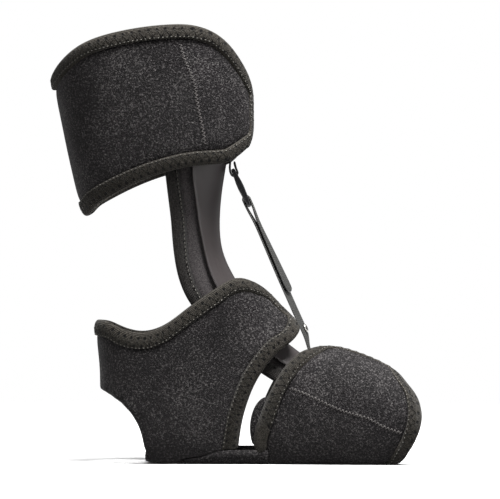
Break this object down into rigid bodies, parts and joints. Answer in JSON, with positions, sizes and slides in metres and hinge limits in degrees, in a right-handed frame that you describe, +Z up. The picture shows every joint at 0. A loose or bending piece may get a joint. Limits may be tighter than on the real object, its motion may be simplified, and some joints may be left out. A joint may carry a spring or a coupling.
{
  "type": "plantar fasciitis night splint",
  "caption": "Dorsal foot splint: padded calf, ankle and forefoot wraps with bound edges, a moulded shin plate on a textile pad, and a taut strap with a ladder buckle.",
  "frame": {"origin": "on the flat sole, under the ankle bend, in the middle plane", "axes": "+Z up the leg, +X towards the toes, the flap ends of the wraps towards -Y"},
  "size_m": [0.259, 0.121, 0.3039],
  "materials": {
    "wrap_cloth": "near-black laminated loop knit on foam, fine lighter flecks, soft sheen",
    "edge_tape": "olive charcoal knitted binding tape with zigzag stitching",
    "pad_cloth": "fine dark woven textile over foam",
    "shell_plastic": "smooth satin dark grey moulded plastic",
    "webbing": "flat woven webbing, black to dark grey",
    "buckle_plastic": "glossy black moulded plastic",
    "rivet_metal": "bright nickel plated rivet head"
  },
  "bodies": {
    "root": {"calf_wrap": "wrap_cloth", "calf_binding": "edge_tape", "ankle_wrap": "wrap_cloth", "ankle_binding": "edge_tape", "foot_wrap": "wrap_cloth", "foot_binding": "edge_tape", "sole_bridge": "wrap_cloth", "arch_flap": "pad_cloth", "dorsal_shell": "shell_plastic", "dorsal_pad": "pad_cloth", "pad_binding": "edge_tape", "strap_anchor": "webbing", "strap_buckle": "buckle_plastic", "tension_strap": "webbing", "strap_rivet": "rivet_metal"}
  },
  "joints": []
}
